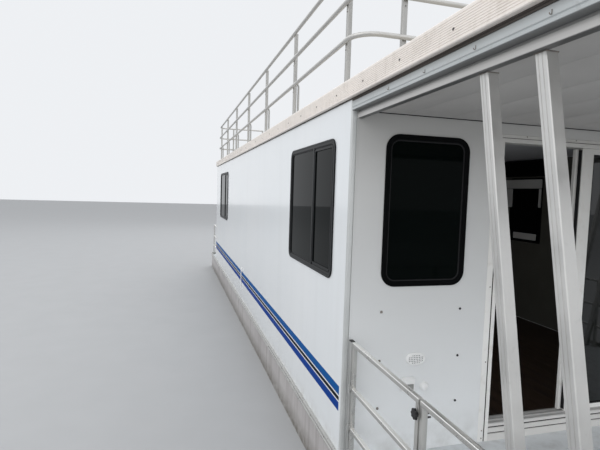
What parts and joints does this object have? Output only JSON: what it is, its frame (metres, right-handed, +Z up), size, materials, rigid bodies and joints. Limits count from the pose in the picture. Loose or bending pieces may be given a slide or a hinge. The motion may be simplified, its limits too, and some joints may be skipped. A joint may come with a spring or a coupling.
{
  "type": "houseboat",
  "caption": "Twin-hull family houseboat with a long panelled cabin, sliding patio door, railed porch with gates, railed roof deck with a ladder, and an outboard motor that tilts and steers.",
  "frame": {"origin": "under the middle of the whole boat, on the plane of the two keel flats", "axes": "+Z up, bow towards -Y, stern and motor towards +Y, port side +X"},
  "size_m": [3.718, 12.62, 3.8275],
  "materials": {
    "wall_panel": "glossy white laminate panel with blue side stripes",
    "hull_gelcoat": "weathered grey-white gelcoat with streaks of dirt",
    "deck_coating": "pale blue-grey non-slip deck coating",
    "roof_cream": "cream ribbed fascia and roof sheet",
    "beam_paint": "pale grey painted beam",
    "ceiling_panel": "light grey ceiling panel",
    "door_white": "off-white door extrusions round dark glass",
    "window_dark": "near-black tinted glass in a dark frame",
    "bare_aluminium": "satin mill aluminium extrusion",
    "motor_dark": "dark grey motor paint",
    "motor_grey": "grey cast motor bracket"
  },
  "bodies": {
    "root": {"wall_starboard": "wall_panel", "wall_port": "wall_panel", "bulkhead_front": "wall_panel", "bulkhead_aft": "wall_panel", "hull_starboard": "hull_gelcoat", "hull_port": "hull_gelcoat", "bridge": "hull_gelcoat", "deck": "deck_coating", "roof": "roof_cream", "fascia": "roof_cream", "porch_beam_upper": "beam_paint", "porch_beam_lower": "beam_paint", "porch_ceiling": "ceiling_panel", "door_frame": "door_white", "door_fixed_sash": "door_white", "window_side_fwd_starboard": "window_dark", "window_side_fwd_port": "window_dark", "window_side_aft_starboard": "window_dark", "window_side_aft_port": "window_dark", "window_front_starboard": "window_dark", "window_front_port": "window_dark", "window_aft": "window_dark", "rub_rail": "bare_aluminium", "corner_post_fwd_starboard": "bare_aluminium", "corner_post_fwd_port": "bare_aluminium", "corner_post_aft_starboard": "bare_aluminium", "corner_post_aft_port": "bare_aluminium", "porch_post_1_starboard": "bare_aluminium", "porch_post_1_port": "bare_aluminium", "porch_post_2_starboard": "bare_aluminium", "porch_post_2_port": "bare_aluminium", "gate_post_starboard": "bare_aluminium", "gate_post_port": "bare_aluminium", "rail_bow_starboard": "bare_aluminium", "rail_bow_port": "bare_aluminium", "rail_aft_starboard": "bare_aluminium", "rail_aft_port": "bare_aluminium", "roof_rail_low": "bare_aluminium", "roof_rail_mid": "bare_aluminium", "roof_rail_front": "bare_aluminium", "roof_rail_starboard": "bare_aluminium", "roof_rail_port": "bare_aluminium", "roof_ladder": "bare_aluminium", "cleat_bow_starboard": "bare_aluminium", "cleat_bow_port": "bare_aluminium", "cleat_stern_starboard": "bare_aluminium", "cleat_stern_port": "bare_aluminium", "motor_bracket": "bare_aluminium", "motor_clamp": "motor_grey"},
    "sliding_door": {"door_sliding_sash": "door_white"},
    "gate_starboard": {"gate_side_starboard": "bare_aluminium"},
    "gate_port": {"gate_side_port": "bare_aluminium"},
    "bow_gate": {"gate_bow": "bare_aluminium"},
    "aft_door": {"aft_door": "wall_panel"},
    "motor_swivel": {"motor_swivel": "motor_grey"},
    "motor": {"motor_leg": "motor_dark", "motor_cover": "motor_dark"},
    "propeller": {"propeller": "motor_dark"}
  },
  "joints": [
    {"name": "door_slide", "type": "slide", "parent": "root", "child": "sliding_door", "axis": [1, 0, 0], "range_m": [-0.619, 0.02]},
    {"name": "gate_starboard_hinge", "type": "hinge", "parent": "root", "child": "gate_starboard", "pos_m": [-1.8025, -3.7415, 1], "axis": [0, 0, -1], "range_deg": [0, 110]},
    {"name": "gate_port_hinge", "type": "hinge", "parent": "root", "child": "gate_port", "pos_m": [1.8025, -3.7415, 1], "axis": [0, 0, 1], "range_deg": [0, 110]},
    {"name": "gate_bow_hinge", "type": "hinge", "parent": "root", "child": "bow_gate", "pos_m": [0.4065, -6.2315, 1], "axis": [0, 0, -1], "range_deg": [0, 100]},
    {"name": "aft_door_hinge", "type": "hinge", "parent": "root", "child": "aft_door", "pos_m": [0.9975, 4.553, 1.72], "axis": [0, 0, -1], "range_deg": [0, 110]},
    {"name": "motor_tilt", "type": "hinge", "parent": "root", "child": "motor_swivel", "pos_m": [0, 5.83, 0.87], "axis": [1, 0, 0], "range_deg": [0, 60]},
    {"name": "motor_steer", "type": "hinge", "parent": "motor_swivel", "child": "motor", "pos_m": [0, 5.91, 0.7], "axis": [0, 0, 1], "range_deg": [-30, 30]},
    {"name": "propeller_spin", "type": "hinge", "parent": "motor", "child": "propeller", "pos_m": [0, 6.23, 0.215], "axis": [0, 1, 0], "continuous": true}
  ]
}
